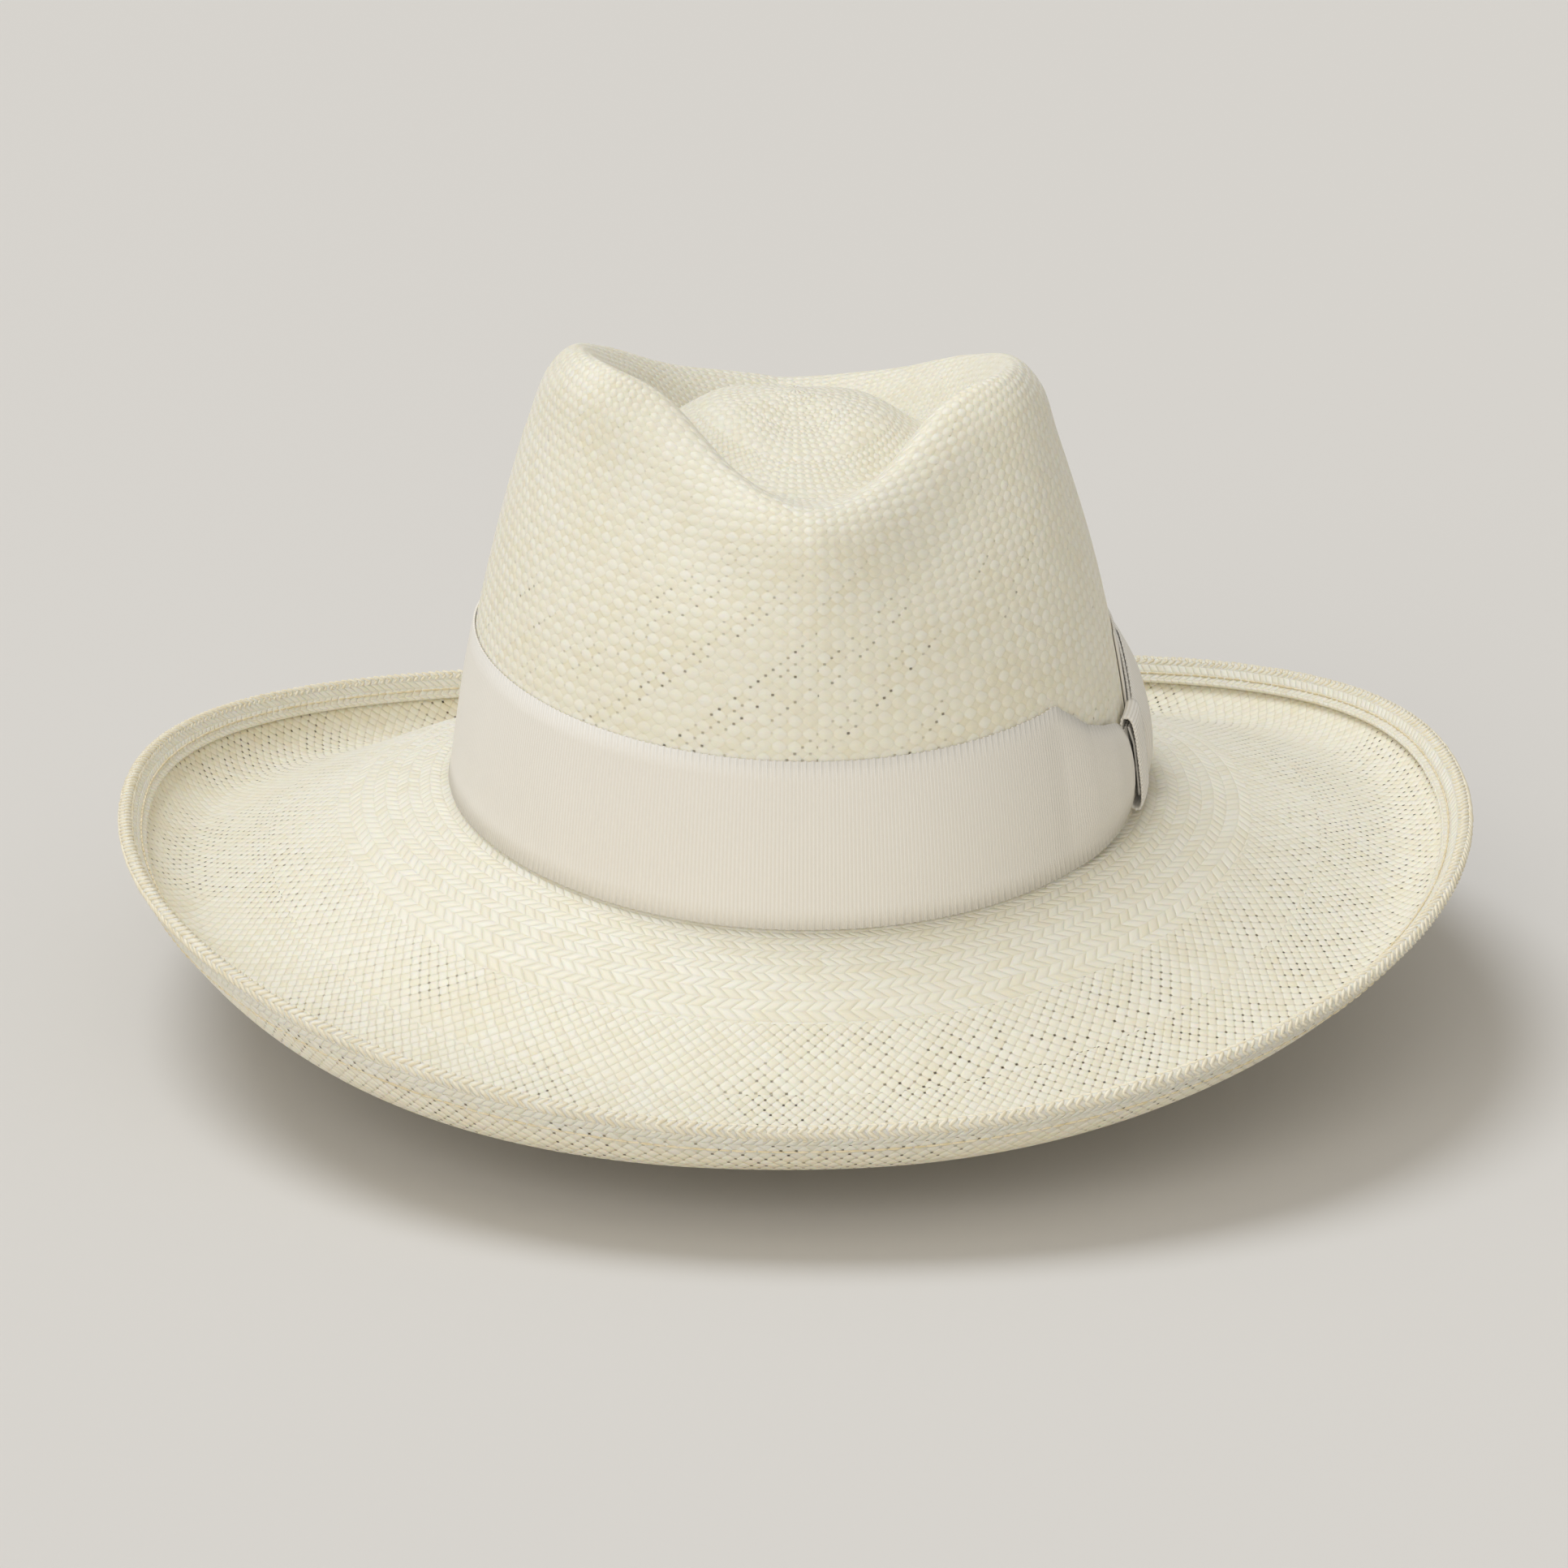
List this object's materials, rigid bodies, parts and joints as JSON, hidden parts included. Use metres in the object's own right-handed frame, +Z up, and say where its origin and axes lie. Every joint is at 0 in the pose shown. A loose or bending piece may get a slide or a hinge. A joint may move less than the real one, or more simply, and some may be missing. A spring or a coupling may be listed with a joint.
{
  "type": "panama hat",
  "caption": "Wide-brimmed woven straw hat with a pinched teardrop crown, an upturned rolled brim edge, a ribbon band with a side bow, and a leather sweatband inside.",
  "frame": {"origin": "middle of the hat's footprint on the surface it rests on", "axes": "+Z up through the crown, the front of the hat faces -Y, the bow is on the +X side (the wearer's left)"},
  "size_m": [0.3405, 0.367, 0.1533],
  "materials": {
    "woven_straw": "satin woven straw",
    "grosgrain": "matte ribbed ribbon",
    "sweatband_leather": "smooth tan leather",
    "reed_cord": "matte cloth",
    "cotton_thread": "matte twisted thread",
    "paper_label": "plain satin label"
  },
  "bodies": {
    "root": {"straw_body": "woven_straw", "crown_band": "grosgrain", "bow_knot": "grosgrain", "bow_rear_wing": "grosgrain", "bow_tail": "grosgrain", "hem_thread_upper": "cotton_thread", "hem_thread_lower": "cotton_thread", "sweatband": "sweatband_leather", "sweatband_reed": "reed_cord", "reed_tape": "grosgrain", "sweatband_thread": "cotton_thread", "seam_backing": "reed_cord", "seam_bow_left_loop": "grosgrain", "seam_bow_right_loop": "grosgrain", "seam_bow_knot": "grosgrain", "size_label": "paper_label"}
  },
  "joints": []
}
